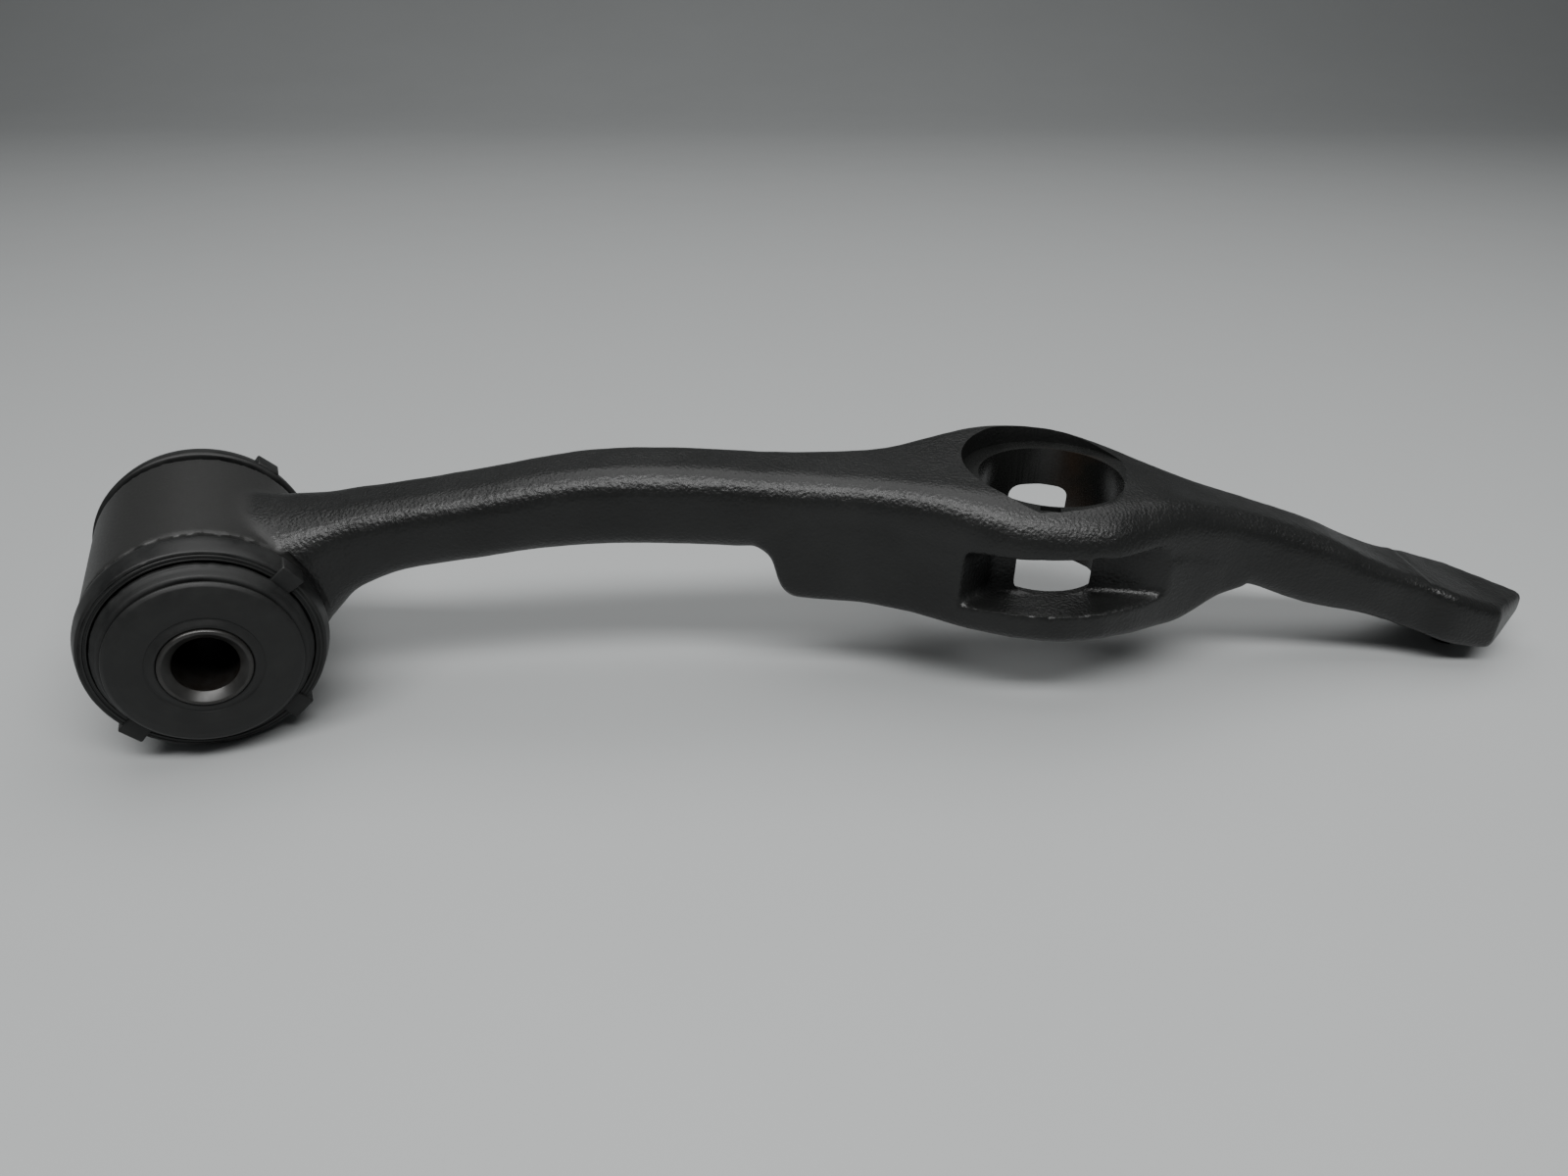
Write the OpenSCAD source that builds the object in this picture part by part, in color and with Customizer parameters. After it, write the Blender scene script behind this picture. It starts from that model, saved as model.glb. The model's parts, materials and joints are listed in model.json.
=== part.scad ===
// Forged transverse control arm with a two-half bonded rubber bush.
// The arm lies along +X, +Z is up and the origin is the centre of the bush.
// Front is the -Y side. The bush axis is level and turned away from -Y by bush_skew.

/* [Bush] */
// Turn of the bush axis in plan, away from square to the arm
bush_skew = 19.5; // [0:0.5:25]
// Length of the inner sleeve
sleeve_len = 90; // [84:1:96]
// Outer radius of the inner sleeve
sleeve_r = 11.4; // [10.5:0.1:12]
// Radius of the bolt bore in the inner sleeve
bolt_r = 8.1; // [6:0.1:8.5]
// Width of the lead-in chamfer at each end of the sleeve
bolt_chamfer = 2.2; // [0.5:0.1:2.4]
// Radius of the thrust disc on each end of the sleeve
disc_r = 24; // [20:0.5:25]
// Running clearance between the sleeve and the rubber
rub_gap = 0.06; // [0.02:0.01:0.1]

/* [Bush eye] */
// Outer radius of the forged eye
eye_r = 30.4; // [29:0.1:32]
// Length of the forged eye along the bush axis
eye_len = 53; // [48:1:58]
// Radius of the bored hole in the eye
eye_bore_r = 26; // [25:0.5:26.5]
// Outer radius of the lugged ring at its root
ring_r = 31; // [30:0.1:31]
// Amount the lugged ring narrows towards its outer face
ring_taper = 1.1; // [0.5:0.1:1.5]
// Thickness of the lugged ring along the bush axis
ring_t = 7.5; // [7:0.1:8]
// Angles of the three lugs round the front ring, from the arm side
lug_angles = [36, 222, 310]; // [0:1:360]
// Extra turn of the rear ring against the front one
rear_ring_turn = -87; // [-90:1:90]

/* [Arm] */
// Distance from the bush axis to the stem bore axis
bore_x = 247; // [244:0.5:250]
// Radius of the stem bore in the upper land
bore_r = 21; // [18:0.5:22]
// Radius of the smaller hole in the lower land
lower_hole_r = 18; // [12:0.5:20]
// Radius of the counterbore under the lower land
under_r = 26.5; // [20:0.5:27]
// Height of the roof of that counterbore
under_z = -3; // [-5:0.5:-2]
// Radius of the spot face around the stem bore
spot_r = 26.5; // [24:0.5:27]
// Height of the spot face above the bush axis
spot_z = 30.6; // [29:0.1:31.5]
// Height of the top of the side recesses
recess_top = 18.6; // [16:0.1:20]
// Height of the floor of the side recesses
recess_floor = 2.4; // [0:0.1:6]
// Distance from the bore axis to the inner wall of the front recess
recess_depth_y = 16.5; // [14:0.5:18]
// Width of the small pocket in the front rim of the bore
notch_w = 5.6; // [3:0.1:8]
// Direction of the pocket from the bore axis, from +X
notch_angle = -106; // [-130:1:-80]
// Half width of the tongue
tongue_half_w = 17; // [15:0.5:18]
// Distance from the bush axis to where the tongue starts to narrow
nose_x = 390; // [386:0.5:394]
// Distance from the bush axis to the end of the nose
tip_x = 407.5; // [404:0.5:409]
// Distance from the bush axis to the resting pad
pad_x = 387; // [384:1:390]
// Height of the resting pad below the bush axis
pad_drop = 31; // [29:0.5:33]
// Radius of the resting pad under the tongue
pad_r = 4; // [3:0.5:7]

/* [Hidden] */
$fn = 96;

painted = "#2c2e2d";
matt_black = "#1d1f1e";
rubber_black = "#161716";
bare_steel = "#8c8f8f";
zinc = "#55585a";

// Upper body of the forging, as [x, top, bottom, half width, edge radius]
BEAM = [
    [12, 26.8, -20, 22, 17],
    [21, 26.6, -16, 20.6, 16],
    [30, 26.8, -12, 19.2, 14],
    [38, 27.4, -5, 16.6, 11.5],
    [46, 28.6, 3, 14.2, 9],
    [60, 30.4, 8.8, 13, 7.5],
    [80, 33.5, 11.8, 13, 7.5],
    [98, 36.8, 14.4, 13, 7.5],
    [113, 38.9, 15.4, 13, 7.5],
    [128, 39.3, 15.4, 13, 7.5],
    [145, 38.6, 14.6, 13.2, 7.5],
    [160, 37.3, 14, 13.6, 7.5],
    [168, 36.8, 16.8, 14, 8],
    [176, 36.4, 20.4, 14.5, 8],
    [187, 35.9, 20.2, 15.8, 8],
    [200, 35.6, 18.4, 18.6, 8],
    [218, 35.8, 16, 26, 8],
    [232, 35.2, 14, 30.4, 8],
    [247, 34, 13, 31.2, 8],
    [260, 32.2, 12, 30, 8],
    [273, 30, 10, 24.5, 8],
    [287, 26.4, 5, 18.2, 8],
    [300, 22.7, -0.5, 14.4, 7.5],
    [312, 19, -3.9, 13, 7],
    [324, 15, -8.7, 12.6, 7],
    [336, 10.4, -12, 12.8, 6.5],
    [347, 5.2, -14, 13.2, 6],
    [358, 0.6, -17, 13.4, 5],
    [367, -2, -19.4, 13.8, 4]
];

// Tongue, as [x, top, bottom, edge radius]
TONGUE = [
    [360, -1.6, -17.4, 3.5],
    [369, -3.4, -20.6, 3.5],
    [380, -7, -23.8, 3.5],
    [nose_x, -10, -25.4, 3.5],
    [399, -11.8, -23.8, 3],
    [tip_x, -13.6, -20.6, 1.8]
];

// Half widths of the lower body, as [x, half width]
LOWER_WIDTH = [
    [156, 12.8], [162, 13.3], [168, 13.6], [175, 13.8], [190, 14.9], [205, 19.2], [219, 26.2],
    [231, 31], [245, 33.6], [257, 32.3], [267, 29], [277, 23.5], [288, 18.3], [300, 14.4], [308, 13]
];

// Lower edge of the lower body, as [x, z]
LOWER_EDGE = [
    [156, 17], [161.5, 13.4], [164, 10.8], [165.4, 6.4], [166.8, 2], [169.4, -1.2],
    [173.5, -2.5], [186, -3.4], [200, -4.6], [215, -6.2], [232, -7.4], [247, -8], [262, -8.4],
    [272, -9.4], [281, -10.4], [287.5, -10], [293, -7.8], [298, -5.6], [304, -4], [308, -3.2]
];

// Upper edge of the lower body, kept inside the upper body, as [x, z]
LOWER_TOP = [
    [156, 27], [168, 28], [190, 28], [205, 26], [218, 22], [228, 18.4], [262, 17.6], [285, 15], [308, 8]
];

beam_rings = 3;
tongue_rings = 2;
corner_steps = 5;
boss_reach = 50;
boss_lean = 0.1;
boss_round = 6;
lower_round = 4.5;
notch_drop = 1.6;
recess_slant = 2.9;
back_wall_left = 22.4;
back_wall_right = 17;
shell_t = 2;
shell_r = eye_bore_r;
flange_t = 2.4;
flange_r = eye_r - 1.6;
split_gap = 1;
bulge_out = 2.6;
disc_t = 2.6;
disc_recess = 1.3;
collar_t = 1;
rubber_end = sleeve_len / 2 - disc_recess - disc_t - 0.4;
ring_seat = eye_len / 2 + flange_t;
ring_front = ring_seat + ring_t;
lug_w = 7;
lug_top = ring_r + 0.5;
lug_reach = 4.2;
neck_half_w = 13.6;
nose_half_w = 2;
facing_r = 32.2;
far = 60;

// Position along a smooth curve through b and c, with neighbours a and d
function along(a, b, c, d, t) =
    0.5 * (2 * b + (c - a) * t + (2 * a - 5 * b + 4 * c - d) * t * t + (3 * b - a - 3 * c + d) * t * t * t);

// Table with extra rows set smoothly between its own
function fill_in(rows, parts) = [
    for (i = [0:len(rows) - 2])
        for (j = [0:parts - 1])
            along(rows[max(i - 1, 0)], rows[i], rows[i + 1], rows[min(i + 2, len(rows) - 1)], j / parts),
    rows[len(rows) - 1]
];

// How far a section takes part in the boss, 1 at the stem bore and 0 away from it
function boss_share(x) = 0.5 + 0.5 * cos(180 * min(1, abs(x - bore_x) / boss_reach));

// Rounded rectangle across the arm at x; at the boss it leans and rolls over to the front
function ring_points(x, top, bottom, half_width, radius, share) = [
    for (corner = [0:3])
        for (i = [0:corner_steps - 1])
            let (
                base = min(radius, half_width - 0.2, (top - bottom) / 2 - 0.2),
                rolled = min(base + boss_round * share, top - bottom - base - 0.2),
                r = corner == 1 ? rolled : base,
                a = 90 * (corner + i / (corner_steps - 1)),
                side = corner == 0 || corner == 3 ? 1 : -1,
                y = side * (half_width - r) + r * cos(a),
                z = (corner < 2 ? top - r : bottom + r) + r * sin(a)
            )
            [x, y, z + boss_lean * share * y * (z - bottom) / (top - bottom)]
];

// Half width of the tongue at x, from the neck to the pointed nose
function tongue_half(x) =
    x < nose_x
        ? neck_half_w + (tongue_half_w - neck_half_w) * (0.5 - 0.5 * cos(180 * min(1, max(0, (x - 364) / 12))))
        : tongue_half_w + (nose_half_w - tongue_half_w) * (x - nose_x) / (tip_x - nose_x);

// Solid through a row of cross sections
module loft(sections) {
    n = len(sections[0]);
    m = len(sections);
    polyhedron(
        points = [for (section = sections) each section],
        faces = concat(
            [[for (i = [0:n - 1]) i]],
            [[for (i = [n - 1:-1:0]) (m - 1) * n + i]],
            [
                for (k = [0:m - 2])
                    for (i = [0:n - 1])
                        [k * n + (i + 1) % n, k * n + i, (k + 1) * n + i]
            ],
            [
                for (k = [0:m - 2])
                    for (i = [0:n - 1])
                        [k * n + (i + 1) % n, (k + 1) * n + i, (k + 1) * n + (i + 1) % n]
            ]
        )
    );
}

// Turns children made along +Z to lie along the bush axis, +Z becoming the front
module on_bush_axis() {
    rotate([0, 0, bush_skew]) rotate([90, 0, 0]) children();
}

// Turns a front part of the bush end for end
module to_rear() {
    rotate([0, 180, 0]) children();
}

module beam_body() {
    loft([for (s = fill_in(BEAM, beam_rings)) ring_points(s[0], s[1], s[2], s[3], s[4], boss_share(s[0]))]);
}

module tongue_body() {
    loft([for (s = fill_in(TONGUE, tongue_rings)) ring_points(s[0], s[1], s[2], tongue_half(s[0]), s[3], 0)]);
}

module lower_body() {
    loft([
        for (row = LOWER_EDGE)
            let (x = row[0])
            ring_points(x, lookup(x, LOWER_TOP), row[1], lookup(x, LOWER_WIDTH), lower_round, 0)
    ]);
}

// Forged recess between the two lands, open to the -Y side, with its inner wall at these two distances
module side_recess(left_y, right_y) {
    translate([0, 0, recess_floor])
        linear_extrude(height = recess_top - recess_floor)
            polygon([
                [bore_x - 45, -recess_depth_y - 24],
                [bore_x - 32.5, -recess_depth_y - 9.5],
                [bore_x - 19, -left_y],
                [bore_x + 15, -right_y],
                [bore_x + 30, -recess_depth_y - 6],
                [bore_x + 54, -recess_depth_y - 13],
                [bore_x + 54, -recess_depth_y - 24]
            ]);
}

// Flat machined end of the eye, with room round it for the lugged ring
module eye_facing() {
    translate([0, 0, eye_len / 2]) cylinder(r = facing_r, h = far / 2);
}

module arm_forging() {
    color(painted)
    difference() {
        union() {
            on_bush_axis() cylinder(r = eye_r, h = eye_len + 4, center = true);
            beam_body();
            tongue_body();
            lower_body();
            translate([pad_x, 0, -pad_drop]) cylinder(r = pad_r, h = 10);
        }
        on_bush_axis() cylinder(r = eye_bore_r, h = eye_len + 2, center = true);
        on_bush_axis() eye_facing();
        on_bush_axis() to_rear() eye_facing();
        side_recess(recess_depth_y, recess_depth_y + recess_slant);
        mirror([0, 1, 0]) side_recess(back_wall_left, back_wall_right);
        translate([bore_x, 0, recess_floor - 0.4]) cylinder(r = bore_r, h = far);
        translate([bore_x, 0, -far]) cylinder(r = lower_hole_r, h = 2 * far);
        translate([bore_x, 0, under_z - far]) cylinder(r = under_r, h = far);
        translate([bore_x, 0, spot_z]) cylinder(r = spot_r, h = far);
        translate([bore_x, 0, spot_z - notch_drop])
            rotate([0, 0, notch_angle])
                translate([bore_r + 0.5, -notch_w / 2, 0]) cube([2.8, notch_w, far]);
    }
}

// Flanged steel shell of one half of the bush
module shell_half() {
    rotate_extrude()
        polygon([
            [shell_r - shell_t, split_gap / 2],
            [shell_r, split_gap / 2],
            [shell_r, eye_len / 2],
            [flange_r, eye_len / 2],
            [flange_r, eye_len / 2 + flange_t],
            [shell_r - shell_t, eye_len / 2 + flange_t]
        ]);
}

module front_shell() {
    color(zinc) on_bush_axis() shell_half();
}

module rear_shell() {
    color(zinc) on_bush_axis() to_rear() shell_half();
}

module rubber_half() {
    rotate_extrude()
        polygon([
            [sleeve_r + rub_gap, split_gap / 2],
            [shell_r - shell_t, split_gap / 2],
            [shell_r - shell_t, rubber_end - 6],
            [shell_r - shell_t + bulge_out, rubber_end - 4.4],
            [shell_r - shell_t + bulge_out, rubber_end - 2.8],
            [shell_r - shell_t + 0.9, rubber_end - 0.4],
            [shell_r - shell_t, rubber_end],
            [sleeve_r + 4, rubber_end],
            [sleeve_r + rub_gap, rubber_end - 3]
        ]);
}

module front_rubber() {
    color(rubber_black) on_bush_axis() rubber_half();
}

module rear_rubber() {
    color(rubber_black) on_bush_axis() to_rear() rubber_half();
}

module lug_ring() {
    rotate_extrude()
        polygon([
            [shell_r - shell_t, ring_seat],
            [ring_r - 1, ring_seat],
            [ring_r, ring_seat + 1],
            [ring_r, ring_seat + 2],
            [ring_r - ring_taper, ring_front - 0.6],
            [ring_r - ring_taper - 0.6, ring_front],
            [shell_r - shell_t + 3.2, ring_front],
            [shell_r - shell_t, ring_front - 2]
        ]);
    for (a = lug_angles)
        rotate([0, 0, a])
            translate([lug_top - lug_reach, -lug_w / 2, ring_seat + 1.4])
                cube([lug_reach, lug_w, ring_t - 0.5]);
}

module front_lug_ring() {
    color(matt_black) on_bush_axis() lug_ring();
}

module rear_lug_ring() {
    color(matt_black) on_bush_axis() to_rear() rotate([0, 0, rear_ring_turn]) lug_ring();
}

module end_disc() {
    back = sleeve_len / 2 - disc_recess - disc_t;
    rotate_extrude()
        polygon([
            [sleeve_r, back],
            [disc_r - 1.4, back],
            [disc_r, back + 0.6],
            [disc_r, back + 1.3],
            [disc_r - 1, back + 1.9],
            [disc_r - 4.8, back + disc_t],
            [sleeve_r + 2.6, back + disc_t],
            [sleeve_r + 0.9, back + disc_t + collar_t],
            [sleeve_r, back + disc_t + collar_t]
        ]);
}

module front_end_disc() {
    color(matt_black) on_bush_axis() end_disc();
}

module rear_end_disc() {
    color(matt_black) on_bush_axis() to_rear() end_disc();
}

module inner_sleeve() {
    half = sleeve_len / 2;
    color(bare_steel)
    on_bush_axis()
        rotate_extrude()
            polygon([
                [bolt_r, -half + bolt_chamfer],
                [bolt_r + bolt_chamfer, -half],
                [sleeve_r - 0.4, -half],
                [sleeve_r, -half + 0.4],
                [sleeve_r, half - 0.4],
                [sleeve_r - 0.4, half],
                [bolt_r + bolt_chamfer, half],
                [bolt_r, half - bolt_chamfer]
            ]);
}

arm_forging();
front_shell();
rear_shell();
front_rubber();
rear_rubber();
front_lug_ring();
rear_lug_ring();
front_end_disc();
rear_end_disc();
inner_sleeve();
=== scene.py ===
"""Looks of the forged control arm: its forging, rubber bush, sleeve and discs, on a pale floor."""

import json
import logging
import math
from dataclasses import dataclass, field
from enum import Enum

import bmesh
import bpy
import numpy as np
from mathutils import Matrix, Vector, noise


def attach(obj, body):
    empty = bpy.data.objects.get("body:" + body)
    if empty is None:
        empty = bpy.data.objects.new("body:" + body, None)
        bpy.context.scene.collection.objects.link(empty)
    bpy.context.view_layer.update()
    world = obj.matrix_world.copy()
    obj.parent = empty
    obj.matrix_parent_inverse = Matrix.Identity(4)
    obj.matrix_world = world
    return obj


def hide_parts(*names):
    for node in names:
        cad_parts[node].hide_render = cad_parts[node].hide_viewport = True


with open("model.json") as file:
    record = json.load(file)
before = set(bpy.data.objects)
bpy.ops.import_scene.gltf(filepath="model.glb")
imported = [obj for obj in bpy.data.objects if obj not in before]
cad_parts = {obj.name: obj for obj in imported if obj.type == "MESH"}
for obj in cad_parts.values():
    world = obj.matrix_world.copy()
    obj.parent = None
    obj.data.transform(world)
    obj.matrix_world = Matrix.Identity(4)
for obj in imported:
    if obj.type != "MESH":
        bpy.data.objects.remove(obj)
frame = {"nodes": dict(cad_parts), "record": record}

LOG = logging.getLogger("control_arm")
MM = 0.001


class BushEnd(Enum):
    """The two ends of the bush, with the sign of the way each one faces along the bush axis."""

    FRONT = 1
    REAR = -1


# ---------------------------------------------------------------- the bush axis


@dataclass(frozen=True)
class BushAxis:
    """The line through the inner sleeve, as the record's joint states it."""

    origin: Vector
    along: Vector
    across: Vector
    up: Vector

    @classmethod
    def from_record(cls, record: dict) -> "BushAxis":
        """Reads the axis from the bush's joint.

        Args:
            record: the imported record.

        Returns:
            The axis, pointing to the front.
        """
        joint = record["behaviour"]["joints"][0]
        along = Vector(joint["axis"]).normalized()
        up = Vector((0.0, 0.0, 1.0))
        return cls(Vector(joint["pos_m"]), along, up.cross(along).normalized(), up)

    def place(self, radius: float, angle: float, reach: float) -> Vector:
        """Finds a point round the axis.

        Args:
            radius: distance from the axis, in millimetres.
            angle: angle from the arm side towards the top, in radians.
            reach: distance along the axis to the front, in millimetres.

        Returns:
            The point, in metres.
        """
        round_way = self.across * math.cos(angle) + self.up * math.sin(angle)
        return self.origin + (self.along * reach + round_way * radius) * MM

    def radii(self, points: np.ndarray) -> np.ndarray:
        """Distances from the axis.

        Args:
            points: rows of x, y, z in metres.

        Returns:
            One distance a row, in millimetres.
        """
        rel = points - np.array(self.origin)
        line = np.array(self.along)
        return np.linalg.norm(rel - np.outer(rel @ line, line), axis=1) / MM


# ---------------------------------------------------------------- material helpers


class Painter:
    """Builds one node material step by step."""

    def __init__(self, name: str) -> None:
        """Starts an empty material with a shader and its output."""
        self.material = bpy.data.materials.new(name)
        self.material.use_nodes = True
        self.tree = self.material.node_tree
        self.tree.nodes.clear()
        self.out = self.tree.nodes.new("ShaderNodeOutputMaterial")
        self.shader = self.tree.nodes.new("ShaderNodeBsdfPrincipled")
        self.tree.links.new(self.shader.outputs["BSDF"], self.out.inputs["Surface"])
        self.where = self.tree.nodes.new("ShaderNodeTexCoord").outputs["Object"]

    def link(self, source: bpy.types.NodeSocket, target: bpy.types.NodeSocket) -> None:
        """Joins two sockets."""
        self.tree.links.new(source, target)

    def set(self, **values: float) -> None:
        """Sets the shader's own sockets, named with underscores for spaces."""
        for name, value in values.items():
            self.shader.inputs[name.replace("_", " ")].default_value = value

    def grain(self, scale: float, detail: float = 3.0, rough: float = 0.55) -> bpy.types.NodeSocket:
        """Adds a noise.

        Args:
            scale: size of the pattern, in repeats a metre.
            detail: number of finer layers.
            rough: strength of the finer layers.

        Returns:
            The noise's value, about 0.5 on average.
        """
        node = self.tree.nodes.new("ShaderNodeTexNoise")
        node.inputs["Scale"].default_value = scale
        node.inputs["Detail"].default_value = detail
        node.inputs["Roughness"].default_value = rough
        self.link(self.where, node.inputs["Vector"])
        return node.outputs["Fac"]

    def cells(self, scale: float) -> bpy.types.NodeSocket:
        """Adds a pattern of small rounded pits and returns the distance to each one's middle."""
        node = self.tree.nodes.new("ShaderNodeTexVoronoi")
        node.feature = "SMOOTH_F1"
        node.inputs["Scale"].default_value = scale
        node.inputs["Smoothness"].default_value = 0.6
        self.link(self.where, node.inputs["Vector"])
        return node.outputs["Distance"]

    def ramp(self, source: bpy.types.NodeSocket, low: float, high: float,
             to_low: float = 0.0, to_high: float = 1.0) -> bpy.types.NodeSocket:
        """Maps a value from one range to another, and holds it inside."""
        node = self.tree.nodes.new("ShaderNodeMapRange")
        node.clamp = True
        self.link(source, node.inputs["Value"])
        for name, value in (("From Min", low), ("From Max", high), ("To Min", to_low), ("To Max", to_high)):
            node.inputs[name].default_value = value
        return node.outputs["Result"]

    def math(self, kind: str, a: "bpy.types.NodeSocket | float",
             b: "bpy.types.NodeSocket | float") -> bpy.types.NodeSocket:
        """Adds a sum, product or other operation on two values."""
        node = self.tree.nodes.new("ShaderNodeMath")
        node.operation = kind
        for i, value in enumerate((a, b)):
            if isinstance(value, (int, float)):
                node.inputs[i].default_value = value
            else:
                self.link(value, node.inputs[i])
        return node.outputs[0]

    def mask(self, name: str) -> bpy.types.NodeSocket:
        """Reads a value that the mesh carries."""
        node = self.tree.nodes.new("ShaderNodeAttribute")
        node.attribute_name = name
        return node.outputs["Fac"]

    def blend(self, share: "bpy.types.NodeSocket | float", a: "tuple | bpy.types.NodeSocket",
              b: "tuple | bpy.types.NodeSocket") -> bpy.types.NodeSocket:
        """Mixes two colours.

        Args:
            share: how much of b there is.
            a: a colour or a socket.
            b: a colour or a socket.

        Returns:
            The mixed colour.
        """
        node = self.tree.nodes.new("ShaderNodeMix")
        node.data_type = "RGBA"
        for key, value in ((0, share), (6, a), (7, b)):
            if isinstance(value, (tuple, float, int)):
                node.inputs[key].default_value = (*value, 1.0) if isinstance(value, tuple) else value
            else:
                self.link(value, node.inputs[key])
        return node.outputs[2]

    def bump(self, height: bpy.types.NodeSocket, strength: float, depth: float,
             before: "bpy.types.NodeSocket | None" = None) -> bpy.types.NodeSocket:
        """Adds relief.

        Args:
            height: the relief's height, from 0 to 1.
            strength: how strongly it shows.
            depth: its real depth, in metres.
            before: relief that it lies on.

        Returns:
            The new surface direction.
        """
        node = self.tree.nodes.new("ShaderNodeBump")
        node.inputs["Strength"].default_value = strength
        node.inputs["Distance"].default_value = depth
        self.link(height, node.inputs["Height"])
        if before is not None:
            self.link(before, node.inputs["Normal"])
        return node.outputs["Normal"]

    def done(self, colour: bpy.types.NodeSocket, rough: bpy.types.NodeSocket,
             relief: bpy.types.NodeSocket) -> bpy.types.Material:
        """Joins colour, roughness and relief to the shader and returns the material."""
        self.link(colour, self.shader.inputs["Base Color"])
        self.link(rough, self.shader.inputs["Roughness"])
        self.link(relief, self.shader.inputs["Normal"])
        return self.material


@dataclass(frozen=True)
class ForgePaint:
    """Semi-gloss black paint over the pebbly skin of a forging, smoother where it was machined."""

    dark: tuple = (0.0055, 0.0058, 0.0055)
    worn: tuple = (0.022, 0.0225, 0.0215)
    rust: tuple = (0.022, 0.014, 0.009)

    def material(self) -> bpy.types.Material:
        """Builds the paint; the mesh carries the masks machined, barrel, edge and stain."""
        p = Painter("forge_paint")
        machined = p.mask("machined")
        barrel = p.mask("barrel")
        edge = p.mask("edge")
        stain = p.mask("stain")
        cloud = p.grain(45.0, 4.0)
        pebble = p.grain(1250.0, 3.0, 0.6)
        pits = p.cells(950.0)
        fine = p.grain(3200.0, 2.0)
        colour = p.blend(p.ramp(cloud, 0.35, 0.7), self.dark, (0.010, 0.0104, 0.010))
        colour = p.blend(barrel, colour, (0.017, 0.0172, 0.0165))
        colour = p.blend(p.ramp(edge, 0.25, 0.9, 0.0, 0.6), colour, self.worn)
        colour = p.blend(p.math("MULTIPLY", stain, p.ramp(cloud, 0.4, 0.65)), colour, self.rust)
        smooth = p.math("MAXIMUM", machined, barrel)
        rough = p.ramp(pebble, 0.3, 0.7, 0.31, 0.40)
        rough = p.math("ADD", rough, p.math("MULTIPLY", barrel, 0.10))
        rough = p.math("SUBTRACT", rough, p.math("MULTIPLY", machined, 0.08))
        coarse = p.math("ADD", p.math("MULTIPLY", pebble, 0.7), p.math("MULTIPLY", pits, 0.5))
        coarse = p.math("MULTIPLY", coarse, p.ramp(smooth, 0.0, 1.0, 1.0, 0.12))
        relief = p.bump(coarse, 0.9, 0.00026)
        relief = p.bump(fine, 0.25, 0.00004, relief)
        p.set(IOR=1.43)
        return p.done(colour, rough, relief)


@dataclass(frozen=True)
class Rubber:
    """Moulded black rubber with a faint bloom, fine moulding grain and a painted highlight on its edges."""

    name: str = "moulded_rubber"
    dark: tuple = (0.0055, 0.0058, 0.0057)
    bloom: tuple = (0.014, 0.0145, 0.014)
    rough: float = 0.52

    def material(self) -> bpy.types.Material:
        """Builds the rubber."""
        p = Painter(self.name)
        cloud = p.grain(120.0, 5.0, 0.65)
        fine = p.grain(2600.0, 3.0)
        edge = p.mask("edge")
        colour = p.blend(p.ramp(cloud, 0.35, 0.75), self.dark, self.bloom)
        # painted highlight: the edges that stand out are made lighter, standing for the glints on the
        # rubber's edges
        colour = p.blend(p.ramp(edge, 0.3, 1.0, 0.0, 0.5), colour, (0.04, 0.041, 0.039))
        rough = p.ramp(cloud, 0.3, 0.7, self.rough - 0.08, self.rough + 0.10)
        relief = p.bump(cloud, 0.35, 0.00025)
        relief = p.bump(fine, 0.3, 0.00004, relief)
        p.set(IOR=1.4)
        return p.done(colour, rough, relief)


@dataclass(frozen=True)
class CoatedDisc:
    """Matt black coating on a pressed disc, with faint rings, lighter on its edges."""

    dark: tuple = (0.007, 0.0073, 0.007)
    edge_tone: tuple = (0.034, 0.035, 0.033)

    def material(self) -> bpy.types.Material:
        """Builds the coating."""
        p = Painter("coated_disc")
        cloud = p.grain(160.0, 5.0, 0.6)
        fine = p.grain(2200.0, 3.0)
        edge = p.mask("edge")
        colour = p.blend(p.ramp(cloud, 0.4, 0.8), self.dark, (0.013, 0.0134, 0.0128))
        # lighter on the edges that stand out, such as the rim
        colour = p.blend(p.ramp(edge, 0.25, 0.9, 0.0, 0.7), colour, self.edge_tone)
        rough = p.ramp(cloud, 0.3, 0.7, 0.42, 0.56)
        relief = p.bump(cloud, 0.25, 0.0002)
        relief = p.bump(fine, 0.35, 0.00004, relief)
        p.set(IOR=1.42)
        return p.done(colour, rough, relief)


@dataclass(frozen=True)
class TurnedSteel:
    """Darkened turned steel: brighter on its chamfers, brown inside."""

    dark: tuple = (0.020, 0.0195, 0.0185)
    bright: tuple = (0.022, 0.022, 0.021)
    brown: tuple = (0.010, 0.0078, 0.006)

    def material(self) -> bpy.types.Material:
        """Builds the steel; the mesh carries the masks chamfer and inside."""
        p = Painter("turned_steel")
        cloud = p.grain(260.0, 4.0, 0.6)
        fine = p.grain(3000.0, 2.0)
        colour = p.blend(p.ramp(cloud, 0.35, 0.7), self.dark, (0.034, 0.033, 0.031))
        colour = p.blend(p.math("MULTIPLY", p.mask("inside"), p.ramp(cloud, 0.3, 0.6)), colour, self.brown)
        colour = p.blend(p.mask("chamfer"), colour, self.bright)
        rough = p.ramp(cloud, 0.3, 0.7, 0.28, 0.42)
        relief = p.bump(fine, 0.2, 0.00003)
        p.set(Metallic=0.35)
        return p.done(colour, rough, relief)


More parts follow.
